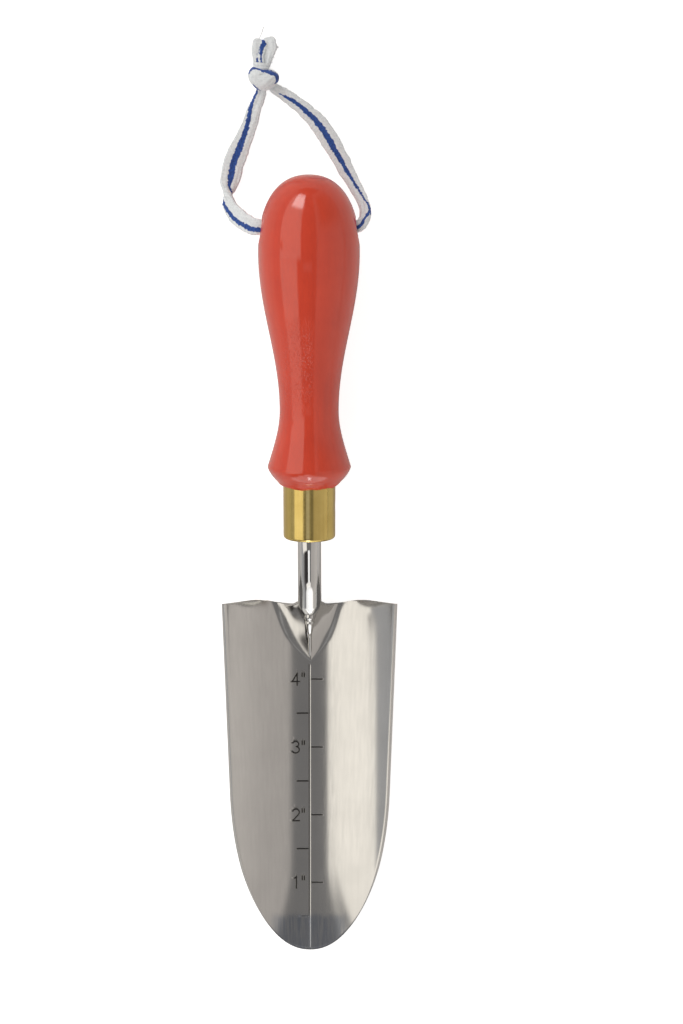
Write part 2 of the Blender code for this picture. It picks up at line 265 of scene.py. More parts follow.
def brass_material():
    n = Nodes("ferrule_brass")
    n.set(metallic=1.0)
    rings = n.noise(n.stretched((60, 1500, 60)), 1.0, 3)
    draw = n.noise(n.stretched((700, 12, 700)), 1.0, 3)
    stain = n.noise(n.place(), 120, 4)
    base = n.mix(n.ramp(stain, 0.35, 0.7), (0.68, 0.515, 0.175, 1), (0.60, 0.44, 0.135, 1))
    base = n.mix(n.ramp(draw, 0.45, 0.75, 0.0, 0.45), base, (0.40, 0.29, 0.09, 1))
    # Painted highlight: a narrow streak along the top of the ferrule is lightened to bright yellow.
    x, _, z = n.node("ShaderNodeSeparateXYZ", {0: n.place()}).outputs
    off = n.maths("ABSOLUTE", n.maths("SUBTRACT", x, HIGHLIGHT_STREAK_X))
    narrow = n.ramp(off, 0.45 * MM, 0.85 * MM, 1.0, 0.0)
    painted_highlight = n.maths("MULTIPLY", narrow, n.ramp(z, AXIS_Z, AXIS_Z + MM))
    base = n.mix(n.maths("MULTIPLY", painted_highlight, 0.85), base, (1.0, 0.80, 0.36, 1))
    n.link(base, "Base Color")
    n.link(n.ramp(rings, 0.3, 0.7, 0.13, 0.18), "Roughness")
    n.link(n.bump(n.maths("ADD", n.maths("MULTIPLY", rings, 0.3), draw), 0.004 * MM, 0.5), "Normal")
    return n.material


# The paint's bubbles fade in and out between these places
BUBBLES_X = (-11 * MM, -8 * MM, 0.5 * MM, 2.5 * MM)
BUBBLES_Y = (56 * MM, 86 * MM, 97 * MM)
LIP_Y = (32.5 * MM, 35.5 * MM)  # the lip below the flare is duller


def paint_material():
    """Gloss paint over turned wood: orange peel, faint grain, bubbles at mid length and a duller lip."""
    n = Nodes("handle_paint")
    n.set(roughness=0.36, coat_weight=1.0, coat_roughness=0.07)
    n.shader.inputs["Specular IOR Level"].default_value = 0.1
    n.shader.inputs["Coat IOR"].default_value = 1.62
    peel = n.noise(n.stretched((1, 0.7, 1)), 420, 2)
    grain = n.noise(n.stretched((260, 18, 260)), 1.0, 3)
    wear = n.noise(n.place(), 90, 3)
    base = n.mix(n.ramp(wear, 0.3, 0.75), (0.70, 0.058, 0.021, 1), (0.64, 0.050, 0.018, 1))
    base = n.mix(n.ramp(grain, 0.5, 0.8, 0.0, 0.35), base, (0.50, 0.040, 0.017, 1))
    n.link(base, "Base Color")
    x, y, _ = n.node("ShaderNodeSeparateXYZ", {0: n.place()}).outputs
    fade_in = n.ramp(y, BUBBLES_Y[0], BUBBLES_Y[0] + 12 * MM)
    window = n.maths("MULTIPLY", fade_in, n.ramp(y, *BUBBLES_Y[1:], 1.0, 0.0))
    window = n.maths("MULTIPLY", window, n.ramp(x, *BUBBLES_X[:2]))
    window = n.maths("MULTIPLY", window, n.ramp(x, *BUBBLES_X[2:], 1.0, 0.0))
    bubbles = n.maths("MULTIPLY", window, n.ramp(n.noise(n.place(), 1400, 2), 0.52, 0.64))
    height = n.maths("ADD", n.maths("MULTIPLY", peel, 0.5), n.maths("MULTIPLY", grain, 0.35))
    height = n.maths("ADD", height, n.maths("MULTIPLY", bubbles, 1.8))
    n.link(n.ramp(y, *LIP_Y, 0.35, 1.0), "Coat Weight")
    bump = n.bump(height, 0.07 * MM, 0.6)
    n.link(bump, "Normal")
    n.link(bump, "Coat Normal")
    return n.material


def resin_material():
    n = Nodes("tang_resin")
    n.set(roughness=0.4)
    cloud = n.noise(n.place(), 300, 4)
    n.link(n.mix(cloud, (0.60, 0.52, 0.36, 1), (0.48, 0.41, 0.27, 1)), "Base Color")
    n.link(n.bump(cloud, 0.1 * MM), "Normal")
    return n.material


RIB_SPACING = 0.55  # millimetres along the tape


def tape_material():
    """White cotton with a blue warp stripe; across, along and stripe_w are millimetres on the tape."""
    n = Nodes("cord_cotton")
    n.set(roughness=0.85, sheen_weight=0.25)
    across, along = n.attribute("across"), n.attribute("along")
    fuzz = n.noise(n.place(), 1500, 2)
    ragged = n.noise(n.place(), 900, 3)
    edge = n.maths("ADD", n.maths("ABSOLUTE", across), n.ramp(ragged, 0.25, 0.75, -0.34, 0.34))
    edge = n.maths("SUBTRACT", edge, n.attribute("stripe_w"))
    stripe = n.ramp(edge, -0.06, 0.12, 1.0, 0.0)
    white = n.mix(n.ramp(fuzz, 0.3, 0.7), (0.88, 0.92, 0.945, 1), (0.73, 0.77, 0.80, 1))
    blue = n.mix(n.ramp(fuzz, 0.3, 0.7), (0.030, 0.105, 0.43, 1), (0.014, 0.046, 0.21, 1))
    n.link(n.mix(stripe, white, blue), "Base Color")
    ribs = n.maths("SINE", n.maths("MULTIPLY", along, 2 * math.pi / RIB_SPACING))
    n.link(n.bump(n.maths("ADD", fuzz, n.maths("MULTIPLY", ribs, 0.10)), 0.10 * MM, 0.6), "Normal")
    return n.material


# ---------------------------------------------------------------- mesh helpers


def add_piece(name, mesh, look, body, slot, *replaced):
    made = bpy.data.objects.new(name, mesh)
    bpy.context.scene.collection.objects.link(made)
    mesh.materials.append(look)
    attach(made, body)
    if replaced:
        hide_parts(*replaced)
    return made


def skin(name, rings, caps=(True, True), values=None):
    """A closed tube through rings of points (ring, point, xyz), with flat caps and point attributes."""
    rings = np.asarray(rings, float)
    count, around = rings.shape[:2]
    index = np.arange(count * around).reshape(count, around)
    following = np.roll(index, -1, axis=1)
    quads = np.stack([index[:-1], following[:-1], following[1:], index[1:]], axis=-1).reshape(-1, 4)
    faces = quads.tolist()
    if caps[0]:
        faces.append(index[0][::-1].tolist())
    if caps[1]:
        faces.append(index[-1].tolist())
    mesh = bpy.data.meshes.new(name)
    mesh.from_pydata(rings.reshape(-1, 3).tolist(), [], faces)
    set_values(mesh, values or {})
    outwards(mesh)
    mesh.shade_smooth()
    mesh.set_sharp_from_angle(angle=math.radians(50))
    return mesh


def set_values(mesh, values):
    """Point attributes for the materials to read."""
    for key, value in values.items():
        layer = mesh.attributes.new(key, "FLOAT", "POINT")
        layer.data.foreach_set("value", np.asarray(value, np.float32).ravel())


@contextmanager
def edited(mesh):
    """A mesh opened for editing, and written back at the end."""
    work = bmesh.new()
    work.from_mesh(mesh)
    yield work
    work.to_mesh(mesh)
    work.free()


def outwards(mesh):
    with edited(mesh) as work:
        bmesh.ops.recalc_face_normals(work, faces=work.faces)


def steps(start, end, count):
    return np.linspace(start, end, count)


def wobble(point, scale, seed=0.0):
    """Smooth noise from -1 to 1 at a point."""
    return noise.noise(Vector(point) * scale + Vector((seed, 2 * seed, -seed)))


# ---------------------------------------------------------------- blade

SHEET = 1.5 * MM
BLADE_TILT = math.radians(6)
BLADE_L = 131 * MM
TROUGH_R = 42.5 * MM
TIP_ARC_L = 61 * MM
TIP_ARC_W = 26.25 * MM
TIP_ARC_POWERS = (2.1, 2.15)
SIDE_TAPER = 0.0376
SHOULDER_S = 22 * MM  # from the tip back to the ends of the mesh's last, bowed row
TIP_FLATTENED = 0.45  # the share of the trough's depth that is lost at the tip
DARK_TIP_S = (BLADE_L - 14.5 * MM, BLADE_L - 11.5 * MM)  # where the painted dark reflection at the tip fades in
DARK_TIP_X = (10 * MM, 17 * MM)  # and where it fades out at the sides

# The beak: two flaps that rise between a valley on each side and the slit round the neck
BEAK_L = 22.5 * MM
BEAK_TOP = 7.0 * MM
BEAK_TOP_POWER = 1.1
BEAK_RISE_POWER = 1.3
BEAK_CREASE = 2.0 * MM
VALLEY_LEFT = (12.6 * MM, 2.2)  # half width at the top edge, and the power of its curve to the apex
VALLEY_RIGHT = (10.2 * MM, 2.6)
SLIT_HALF_W = 4.4 * MM
SLIT_DECAY = 8.2 * MM

# The top edge's outline and the lip rolled down along it
EDGE_SET_BACK = 1.5 * MM
EDGE_CROWN = 0.6 * MM
LIP_DROP = 1.3 * MM
LIP_REACH = 3.4 * MM
LIP_X = 19 * MM

# The stamped scale: inches from the tip, with ticks between
INCH = 25.4 * MM
NUMERAL_H = 4.4 * MM
GROOVE_HALF_W = 0.26 * MM
GROOVE_DEPTH = 0.08 * MM


def smooth(low, high, value):
    t = min(1.0, max(0.0, (value - low) / (high - low)))
    return t * t * (3 - 2 * t)


def half_width(from_tip):
    """The blade's half width at a distance from its tip: a blunt arc, then slowly widening sides."""
    t = 1 - min(from_tip, TIP_ARC_L) / TIP_ARC_L
    return TIP_ARC_W * (1 - t ** TIP_ARC_POWERS[0]) ** (1 / TIP_ARC_POWERS[1]) + SIDE_TAPER * from_tip


def tip_depth(x):
    """How far from the tip the outline reaches a half width of x."""
    depth = 0.0
    for _ in range(5):
        across = min(1.0, max(0.0, x - SIDE_TAPER * depth) / TIP_ARC_W)
        depth = TIP_ARC_L * (1 - (1 - across ** TIP_ARC_POWERS[1]) ** (1 / TIP_ARC_POWERS[0]))
    return depth


def slit_half_width(s):
    if s >= BEAK_L:
        return 0.0
    return SLIT_HALF_W * math.exp(-s / SLIT_DECAY) * (1 - (s / BEAK_L) ** 6)


def slit_centre(s):
    """The slit wanders a little to the left and comes back at the apex."""
    wander = 0.4 * MM * min(1.0, s / BEAK_L) ** 6 * math.exp(-max(0.0, s - BEAK_L) / (3 * MM))
    return wander - 0.7 * MM * math.exp(-(((s - 13 * MM) / (4.5 * MM)) ** 2))


def blade_height(x, s, side):
    """The hollow side's height above the blade's bed: the trough, the beak's flaps and the rolled lip."""
    base = TROUGH_R - math.sqrt(TROUGH_R**2 - x**2)
    base *= 1 - TIP_FLATTENED * smooth(BLADE_L - 34 * MM, BLADE_L - 2 * MM, s)
    lip = LIP_DROP * math.exp(-s / LIP_REACH) * math.exp(-(((x - LIP_X) / (6 * MM)) ** 2))
    t = s / BEAK_L
    if t >= 1:
        return base
    valley, power = VALLEY_RIGHT if side > 0 else VALLEY_LEFT
    edge = valley * (1 - t**power)
    slit = slit_half_width(s) + side * slit_centre(s)
    crease = BEAK_CREASE * (1 - t)
    q = (edge - x) / max(edge - slit, 0.01 * MM)
    blend = crease / max(edge - slit, 0.01 * MM)
    q = 0.5 * (q + math.sqrt(q * q + blend * blend))
    rise = min(1.05, q) ** BEAK_RISE_POWER
    return base - lip + (BEAK_TOP * (1 - t) ** BEAK_TOP_POWER - base) * rise


def numeral_strokes(digit):
    """A stamped digit's strokes in a box one unit high and 0.6 wide."""

    def bowl(middle, size, start, end, count):
        turn = steps(math.pi * start, math.pi * end, count)
        return [(middle[0] + size[0] * math.cos(a), middle[1] + size[1] * math.sin(a)) for a in turn]

    arc = bowl((0.3, 0.72), (0.3, 0.28), 0.9, -0.25, 7)
    low = bowl((0.28, 0.28), (0.32, 0.28), 0.45, -0.85, 8)
    top = bowl((0.28, 0.76), (0.27, 0.24), 0.85, -0.4, 7)
    shapes = {
        1: [[(0.12, 0.8), (0.34, 1), (0.34, 0)]],
        2: [arc + [(0.02, 0), (0.6, 0)]],
        3: [top, low],
        4: [[(0.42, 0), (0.42, 1), (0, 0.3), (0.62, 0.3)]],
    }
    return shapes[digit]


def scale_strokes():
    """The stamped scale as straight strokes between (x, distance from the tip) points."""
    lines = []
    height = NUMERAL_H
    for inch in (1, 2, 3, 4):
        at = inch * INCH
        lines.append([(0.7 * MM, at), (4.6 * MM, at)])
        lines.append([(-4.8 * MM, at - INCH / 2), (-0.7 * MM, at - INCH / 2)])
        corner = (-6.6 * MM, at - height / 2)
        for shape in numeral_strokes(inch):
            lines.append([(corner[0] + height * x, corner[1] + height * y) for x, y in shape])
        for x in (-2.9 * MM, -2.1 * MM):
            lines.append([(x, at + height * 0.22), (x, at + height * 0.5)])
    return [pair for line in lines for pair in zip(line, line[1:])]


def stamp_distance(x, from_tip):
    """How far each point of the blade is from the nearest stroke."""
    nearest = np.full(x.shape, 1.0)
    for (ax, ad), (bx, bd) in scale_strokes():
        run = np.array([bx - ax, bd - ad])
        along = ((x - ax) * run[0] + (from_tip - ad) * run[1]) / max((run**2).sum(), 1e-12)
        along = np.clip(along, 0, 1)
        nearest = np.minimum(nearest, np.hypot(x - ax - along * run[0], from_tip - ad - along * run[1]))
    return nearest


def dark_tip_mask(x, s):
    """How much painted dark reflection the blade gets: only on the last stretch before the tip, and not at
    its edges.
    """
    ragged = 0.8 * MM * wobble((x, 0, 0), 260)
    return smooth(*DARK_TIP_S, s + ragged) * (1 - smooth(*DARK_TIP_X, abs(x)))


def blade_rows():
    """Centre-line distances of the blade's rows: close together in the beak and across the stamped scale."""
    fine, medium, coarse = 0.17 * MM, 0.40 * MM, 1.1 * MM
    at, rows = 0.0, []
    while at < BLADE_L:
        rows.append(at)
        off = (BLADE_L - at) / INCH
        near_inch = abs(off - round(off)) * INCH < 2.9 * MM and 0.5 < off < 4.4
        near_half = abs(off - math.floor(off) - 0.5) * INCH < 1.6 * MM and off < 4
        at += medium if at < BEAK_L + 2 * MM else fine if near_inch or near_half else coarse
    return rows + [BLADE_L]


def blade_columns():
    """Shares of the half width: close together under the stamped scale."""
    inner = steps(0, 0.225, 42)
    return np.concatenate([inner, 0.225 + 0.775 * steps(0, 1, 28)[1:]])


def blade_frame(x, s, z):
    """From the blade's own x, s and height to the row frame."""
    top_y = TIP_Y + BLADE_L * math.cos(BLADE_TILT) + SHEET * math.sin(BLADE_TILT)
    y = top_y - s * math.cos(BLADE_TILT) + z * math.sin(BLADE_TILT)
    return np.stack([x, y, s * math.sin(BLADE_TILT) + z * math.cos(BLADE_TILT)], axis=-1)


def set_back(x, s):
    """The top edge's outline: drawn back beside the neck and crowned over each half of the trough."""
    pull = EDGE_SET_BACK * (1 - smooth(7 * MM, 16 * MM, x)) * smooth(3 * MM, 7 * MM, x)
    crown = EDGE_CROWN * math.exp(-(((x - 21 * MM) / (5 * MM)) ** 2))
    return (pull - crown) * math.exp(-s / (6 * MM))


def make_blade():
    columns, shoulder_x = blade_columns(), half_width(SHOULDER_S)
    mesh = bpy.data.meshes.new("blade_sheet")
    points, faces, groove_shades, dark_tip = [], [], [], []
    for side in (1, -1):
        xs, ss, zs = [], [], []
        for centre_s in blade_rows():
            bow = (centre_s / BLADE_L) ** 4
            edge_x = half_width(BLADE_L - centre_s + bow * SHOULDER_S)
            slit = slit_half_width(centre_s) + side * slit_centre(centre_s)
            row_x = slit + (edge_x - slit) * columns
            row_s = np.array([centre_s - bow * tip_depth(share * shoulder_x) for share in columns])
            xs.append(row_x)
            ss.append([s + set_back(x, s) for x, s in zip(row_x, row_s)])
            zs.append([blade_height(x, s, side) for x, s in zip(row_x, row_s)])
        x, s, z = np.array(xs), np.array(ss), np.array(zs)
        rows, across = x.shape
        index = np.arange(rows * across).reshape(rows, across) + len(points)
        distance = stamp_distance(side * x, BLADE_L - s)
        depth = GROOVE_DEPTH * np.clip(1 - (distance / GROOVE_HALF_W) ** 2, 0, 1)
        burr = 0.1 * GROOVE_DEPTH * np.clip(1 - np.abs(distance / GROOVE_HALF_W - 1.5) / 0.5, 0, 1)
        ruled = (s > BEAK_L + 1.2 * MM) & (s < BLADE_L - 0.4 * MM)
        depth += np.where(ruled, GROOVE_DEPTH * np.clip(1 - (x / GROOVE_HALF_W) ** 2, 0, 1), 0)
        shade = np.where(ruled, np.clip(1.5 - np.abs(side * x + 0.3 * MM) / (0.2 * MM), 0, 0.8), 0)
        # The stamped strokes are darkened as painted shade in their grooves, joined with the centre groove's
        # painted shade.
        groove_shades.append(np.maximum(shade, np.clip(1.7 - distance / GROOVE_HALF_W, 0, 1)).ravel())
        # The painted dark reflection at the tip.
        dark_tip.append(np.vectorize(dark_tip_mask)(side * x, s).ravel())
        points += blade_frame(side * x, s, z - depth + burr).reshape(-1, 3).tolist()
        quads = np.stack([index[:-1, :-1], index[:-1, 1:], index[1:, 1:], index[1:, :-1]], axis=-1)
        quads = quads.reshape(-1, 4)
        faces += (quads if side > 0 else quads[:, ::-1]).tolist()
    mesh.from_pydata(points, [], faces)
    set_values(mesh, {"groove_shade": np.concatenate(groove_shades), "dark_tip": np.concatenate(dark_tip)})
    with edited(mesh) as work:
        bmesh.ops.remove_doubles(work, verts=work.verts, dist=SAME_POINT)
        if sum(face.normal.z for face in work.faces) < 0:
            bmesh.ops.reverse_faces(work, faces=work.faces)
    blade = add_piece("blade_sheet", mesh, STEEL_BLADE, TROWEL, "stainless_steel", "blade")
    shell = blade.modifiers.new("sheet", "SOLIDIFY")
    shell.thickness = SHEET
    shell.offset = -1
    shell.use_even_offset = True
    shell.edge_crease_rim = 0
    rim = blade.modifiers.new("polished_rim", "BEVEL")
    rim.limit_method = "ANGLE"
    rim.angle_limit = math.radians(62)
    rim.width = 0.28 * MM
    rim.segments = 2
    mesh.shade_smooth()
    shown = blade.evaluated_get(bpy.context.evaluated_depsgraph_get()).to_mesh()
    drop = min(vertex.co.z for vertex in shown.vertices) - BLADE_LOW[2]
    for vertex in mesh.vertices:
        vertex.co.z -= drop
    return blade


# ---------------------------------------------------------------- neck, weld and ferrule

NECK_R = (NECK_HIGH[0] - NECK_LOW[0]) / 2
TANG_TIP_Y = NECK_HIGH[1]
TANG_TIP_R = 3.2 * MM
TANG_TIP_L = 1.5 * MM
SHOULDER_Y = HANDLE_END_Y + 8 * MM  # the tang has its full thickness from here on
BEND_AT = 15.6 * MM  # from the ferrule's end
BEND_R = 14 * MM
BEND_ANGLE = math.radians(27)
DROOP = math.radians(16)  # of the straight stretch between the ferrule and the bend
NOSE_FLAT = math.radians(10)  # how much less the nose falls than the bend does

# On the nose, from the blade's top edge
COLLAR_AT = 5.9 * MM
NOSE_END = 20.5 * MM
BEAD_AT = 4.1 * MM  # to the middle of the drop of weld
BEAD_R = 1.9 * MM
BEAD_RISE = 2.2 * MM  # above the nose's axis
WELD_SUNK = 1.6 * MM  # the bead in the slit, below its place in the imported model


def neck_radius(s):
    """The neck's radius by its distance below the blade's top edge: a taper, a collar line and a fine tip."""
    nose = NECK_R - 2.45 * MM * smooth(-1.5 * MM, COLLAR_AT + 0.3 * MM, s)
    if s < COLLAR_AT:
        return nose
    groove = 0.3 * MM * math.exp(-(((s - COLLAR_AT - 0.35 * MM) / (0.3 * MM)) ** 2))
    return nose - groove - 1.1 * MM * smooth(COLLAR_AT, COLLAR_AT + 7 * MM, s)


def neck_route():
    """Centre points, directions and radii from the tang's tip, through the ferrule and bend, to the nose."""
    route = []
    for t in steps(0, 1, 8):
        radius = TANG_TIP_R * math.sqrt(max(0.04, 1 - (1 - t) ** 2))
        route.append((Vector((0, TANG_TIP_Y - TANG_TIP_L * t, AXIS_Z)), 0.0, radius))
    for t in steps(0, 1, 10)[1:]:
        y = TANG_TIP_Y - TANG_TIP_L + t * (SHOULDER_Y - TANG_TIP_Y + TANG_TIP_L)
        route.append((Vector((0, y, AXIS_Z)), 0.0, TANG_TIP_R + t * (NECK_R - TANG_TIP_R)))
    top_y = blade_frame(0.0, 0.0, 0.0)[1]
    corner_y = FERRULE_END_Y - BEND_AT
    tangent_l = BEND_R * math.tan(BEND_ANGLE / 2)
    point, step = Vector((0, SHOULDER_Y, AXIS_Z)), 0.25 * MM
    while point.y > top_y - NOSE_END:
        droop = DROOP * smooth(-FERRULE_END_Y - 1 * MM, -FERRULE_END_Y + 5 * MM, -point.y)
        bent = smooth(-corner_y - tangent_l, -corner_y + tangent_l, -point.y)
        flat = smooth(-top_y + 1 * MM, -top_y + 6 * MM, -point.y)
        turn = droop + (BEND_ANGLE - droop) * bent - NOSE_FLAT * flat
        route.append((point.copy(), turn, neck_radius(top_y - point.y)))
        point += Vector((0, -math.cos(turn), -math.sin(turn))) * step
    return [(centre, Vector((0, -math.cos(turn), -math.sin(turn))), radius) for centre, turn, radius in route]


def make_neck():
    route = neck_route()
    rings = []
    for centre, ahead, radius in route:
        side, up = Vector((1, 0, 0)), Vector((1, 0, 0)).cross(ahead)
        turn = steps(0, 2 * math.pi, 97)[:-1]
        rings.append([centre + (side * math.cos(a) + up * math.sin(a)) * radius for a in turn])
    mesh = skin("neck_bar", rings)
    top_y = blade_frame(0.0, 0.0, 0.0)[1]
    middle = min(route, key=lambda step: abs(top_y - BEAD_AT - step[0].y))[0] + Vector((0, 0, BEAD_RISE))
    with edited(mesh) as work:
        bead = bmesh.ops.create_uvsphere(work, u_segments=32, v_segments=20, radius=BEAD_R)
        bmesh.ops.translate(work, verts=bead["verts"], vec=middle)
        for face in work.faces:
            face.smooth = True
    return add_piece("neck_bar", mesh, STEEL_NECK, TROWEL, "stainless_steel", "neck_shaft")


def make_weld():
    """The bead of weld down in the slit, below the nose's tip."""
    low, high = (Vector(corner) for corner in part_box("neck_weld"))
    mesh = bpy.data.meshes.new("weld_bead")
    with edited(mesh) as work:
        bmesh.ops.create_uvsphere(work, u_segments=40, v_segments=24, radius=0.5)
        bmesh.ops.scale(work, vec=high - low, verts=work.verts)
        bmesh.ops.translate(work, verts=work.verts, vec=(low + high) / 2 - Vector((0, 0, WELD_SUNK)))
        for face in work.faces:
            face.smooth = True
    return add_piece("weld_bead", mesh, STEEL_NECK, TROWEL, "stainless_steel", "neck_weld")


FERRULE_END_R = 9.45 * MM
FERRULE_WALL = 0.9 * MM
FERRULE_EDGE_R = 1.3 * MM
DIMPLE_BACK = 8.2 * MM  # from the handle's end
DIMPLE_UP = 1.1 * MM  # above the axis
DIMPLE_R = 1.2 * MM
DIMPLE_DEPTH = 0.5 * MM


def make_ferrule():
    """The drawn cup, with its dimple punched at the side."""
    end_r, top_r = FERRULE_END_R, (FERRULE_HIGH[0] - FERRULE_LOW[0]) / 2
    wall, edge_r = FERRULE_WALL, FERRULE_EDGE_R
    top_y, hole_r = FERRULE_HIGH[1], NECK_R + 0.25 * MM
    outline = [(top_r - wall, top_y), (top_r - 0.15 * MM, top_y), (top_r, top_y - 0.15 * MM)]
    for t in steps(0, 1, 70)[1:]:
        y = top_y - 0.15 * MM - t * (top_y - FERRULE_END_Y - edge_r - 0.15 * MM)
        outline.append((top_r + t * (end_r - top_r), y))
    for a in steps(0, math.pi / 2, 12)[1:]:
        outline.append((end_r - edge_r * (1 - math.cos(a)), FERRULE_END_Y + edge_r * (1 - math.sin(a))))
    outline += [(hole_r + 0.3 * MM, FERRULE_END_Y), (hole_r, FERRULE_END_Y + 0.3 * MM)]
    outline += [(hole_r, FERRULE_END_Y + wall), (end_r - wall, FERRULE_END_Y + wall), (top_r - wall, top_y)]
    dimple_at = Vector((top_r, HANDLE_END_Y - DIMPLE_BACK, AXIS_Z + DIMPLE_UP))
    rings = []
    for radius, y in outline[:-1]:
        ring = []
        for a in steps(0, 2 * math.pi, 145)[:-1]:
            out = Vector((math.cos(a), 0, math.sin(a)))
            point = Vector((0, y, AXIS_Z)) + out * radius
            if radius > top_r - wall * 0.9:
                away = (point - dimple_at).length
                point -= out * DIMPLE_DEPTH * math.exp(-((away / DIMPLE_R) ** 2))
            ring.append(point)
        rings.append(ring)
    rings.append(rings[0])
    mesh = skin("ferrule_cup", rings, caps=(False, False))
    with edited(mesh) as work:
        bmesh.ops.remove_doubles(work, verts=work.verts, dist=SAME_POINT)
        bmesh.ops.recalc_face_normals(work, faces=work.faces)
    return add_piece("ferrule_cup", mesh, BRASS, TROWEL, "brass", "ferrule")


# ---------------------------------------------------------------- handle

HANDLE_L = BUTT_Y - HANDLE_END_Y
DOME_L = 28 * MM
DOME_POWER = 2.3
WAIST_AT = 85.5 * MM
WAIST_R = 10.7 * MM
FLARE_AT = 106.0 * MM
FLARE_R = 15.15 * MM
FLARE_SLOPE = 0.3
LIP_R = 10.0 * MM
LIP_POWER = 1.35
SPIGOT_R = 8.3 * MM
SPIGOT_L = 18 * MM
HOLE_AT = 18.8 * MM
HOLE_R = 3.5 * MM
HOLE_MOUTH_R = 5.2 * MM
HOLE_MOUTH_DEPTH = 1.6 * MM


def handle_radius(along):
    """The handle's radius at a distance from its butt, up to its flared rim."""
    if along < DOME_L:
        return BULGE_R * (1 - (1 - along / DOME_L) ** DOME_POWER) ** (1 / DOME_POWER)
    if along < WAIST_AT:
        swing = math.cos(math.pi * (along - DOME_L) / (WAIST_AT - DOME_L))
        return (BULGE_R + WAIST_R) / 2 + (BULGE_R - WAIST_R) / 2 * swing
    run = FLARE_AT - WAIST_AT
    t = (along - WAIST_AT) / run
    rise = (3 * t**2 - 2 * t**3) * (FLARE_R - WAIST_R)
    return WAIST_R + rise + (t**3 - t**2) * run * FLARE_SLOPE


def handle_outline():
    """(distance from the butt, radius) from the butt to the inside of the ferrule."""
    dome = DOME_L * steps(0, 1, 44)[1:] ** 2
    body = steps(DOME_L, FLARE_AT, 110)[1:]
    outline = [(along, handle_radius(along)) for along in np.concatenate([dome, body])]
    for turn in steps(0, math.pi / 2, 22)[1:]:
        t = math.sin(turn)
        radius = LIP_R + (FLARE_R - LIP_R) * max(0.0, 1 - t**LIP_POWER) ** (1 / LIP_POWER)
        outline.append((FLARE_AT + (HANDLE_L - FLARE_AT) * t, radius))
    return outline + [(HANDLE_L + 0.15 * MM, LIP_R - 0.1 * MM), (HANDLE_L + 0.2 * MM, LIP_R - 0.35 * MM),
                      (HANDLE_L + 0.2 * MM, SPIGOT_R), (HANDLE_L + SPIGOT_L, SPIGOT_R - 0.4 * MM)]


def make_handle():
    """The turned handle. Its paint laps raggedly over the ferrule's top edge; the cross hole is cut last."""
    rings = []
    for along, radius in handle_outline():
        ring = []
        for a in steps(0, 2 * math.pi, 161)[:-1]:
            out = Vector((math.cos(a), 0, math.sin(a)))
            broad, fine = wobble(out * 2.6, 1.0, 3.7), wobble(out * 11, 1.0, 1.2)
            ragged = 0.55 * MM + 0.5 * MM * broad + 0.12 * MM * fine
            lap = ragged * smooth(HANDLE_L - 1.2 * MM, HANDLE_L, along)
            lap *= 1 - smooth(0, SPIGOT_L, along - HANDLE_L)
            ring.append(Vector((0, BUTT_Y - along - lap, AXIS_Z)) + out * radius)
        rings.append(ring)
    mesh = skin("handle_turned", rings)
    handle = add_piece("handle_turned", mesh, PAINT, TROWEL, "handle_paint", "handle")
    hole = bpy.data.objects.new("hole_cutter", hole_cutter_mesh())
    bpy.context.scene.collection.objects.link(hole)
    tool = handle.modifiers.new("cross_hole", "BOOLEAN")
    tool.operation, tool.solver, tool.object = "DIFFERENCE", "EXACT", hole
    shown = handle.evaluated_get(bpy.context.evaluated_depsgraph_get())
    cut = bpy.data.meshes.new_from_object(shown)
    handle.modifiers.clear()
    bpy.data.objects.remove(hole)
    handle.data = cut
    cut.shade_smooth()
    cut.set_sharp_from_angle(angle=math.radians(50))
    return handle


def hole_cutter_mesh():
    """The cross hole along X, with its mouths rounded over."""
    mouth = handle_radius(HOLE_AT)
    flare = HOLE_MOUTH_R - HOLE_R
    half = [(mouth - HOLE_MOUTH_DEPTH * (1 - t), HOLE_R + flare * t**2) for t in steps(0, 1, 9)]
    half.append((mouth + HOLE_MOUTH_DEPTH, HOLE_MOUTH_R + 2 * HOLE_MOUTH_DEPTH))
    outline = [(-x, r) for x, r in reversed(half)] + half
    rings = []
    for x, radius in outline:
        turn = steps(0, 2 * math.pi, 65)[:-1]
        rings.append([(x, HOLE_Y + radius * math.cos(a), AXIS_Z + radius * math.sin(a)) for a in turn])
    return skin("hole_cutter", rings)


# ---------------------------------------------------------------- hanging loop

HOLE_Y = BUTT_Y - HOLE_AT
KNOT_AT = Vector((-16.4, 178.2, 4.2)) * MM

# The tape leaves the hole on both sides, drops to the table and runs to the knot (millimetres)
LEFT_ROUTE = [
    (-0.3, 126.2, 18.3), (-8, 126.2, 18.3), (-15, 126.1, 18.3), (-19.5, 126.3, 17.6), (-23.6, 128.0, 14.9),
    (-26.8, 130.4, 11.6), (-28.8, 133.2, 8.2), (-29.5, 136.4, 5.1), (-29.1, 139.7, 3.3), (-28.1, 143.7, 2.3),
    (-27.2, 147.8, 2), (-25.2, 152.8, 2), (-23, 157.6, 2), (-21.2, 162.3, 2), (-19.7, 166.9, 2),
    (-18.2, 170.4, 2.2), (-17.4, 172.6, 2.6),
]
RIGHT_ROUTE = [
    (0.3, 126.2, 18.3), (8, 126.2, 18.3), (14.4, 126.1, 18.3), (18.2, 126.8, 17.6), (20.1, 129.4, 14.8),
    (20.1, 132.6, 11.0), (18.5, 136.2, 7.3), (16.2, 140.3, 4.7), (13.7, 144.7, 3), (11.3, 149.1, 2.2),
    (8.6, 153.9, 2), (5.5, 159, 2), (1.7, 163.8, 2), (-2.4, 167.5, 2), (-6.5, 170.7, 2),
    (-9.4, 172.6, 2.2), (-11.3, 173.8, 2.6),
]

